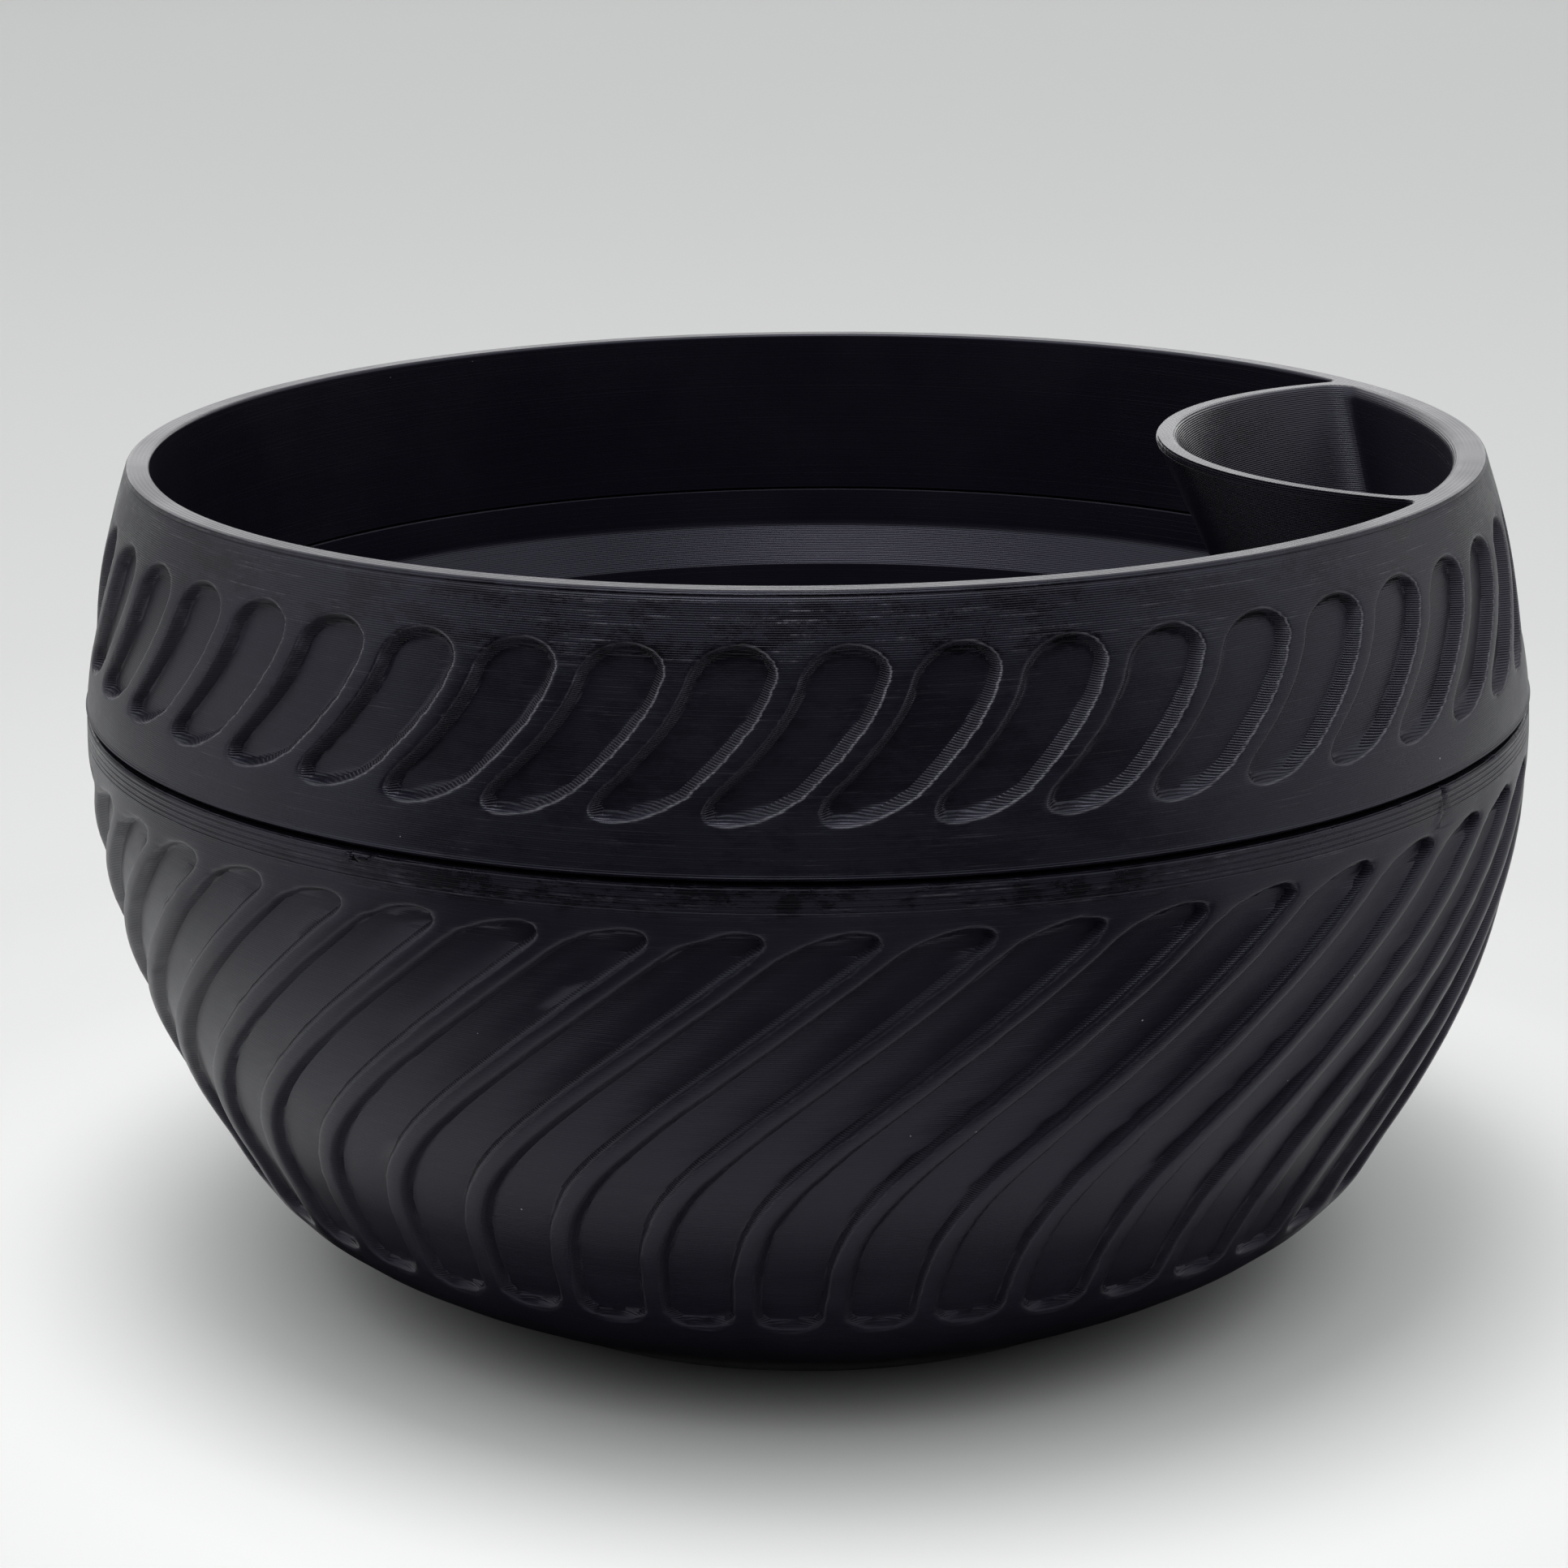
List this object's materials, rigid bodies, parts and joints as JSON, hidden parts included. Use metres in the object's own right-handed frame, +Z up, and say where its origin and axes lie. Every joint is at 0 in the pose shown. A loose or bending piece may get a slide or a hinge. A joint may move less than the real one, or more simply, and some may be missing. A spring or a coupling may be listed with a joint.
{
  "type": "yarn bowl",
  "caption": "Round two-piece yarn bowl with swirled recesses: a lower bowl, and a rim ring that lifts off an upstanding lip and carries a notions pocket on its inner wall.",
  "frame": {"origin": "centre of the flat base, on the surface the bowl stands on", "axes": "+Z up along the bowl's axis, -Y to the front, +X to the side of the notions pocket"},
  "size_m": [0.1526, 0.1526, 0.0884],
  "materials": {
    "bowl_plastic": "black printed plastic, satin sheen, fine horizontal layer lines",
    "ring_plastic": "black printed plastic, satin sheen, fine horizontal layer lines"
  },
  "bodies": {
    "bowl": {"lower_bowl": "bowl_plastic"},
    "ring": {"rim_ring": "ring_plastic"}
  },
  "joints": [
    {"name": "ring_lift", "type": "slide", "parent": "bowl", "child": "ring", "axis": [0, 0, 1], "range_m": [0, 0.06]}
  ]
}
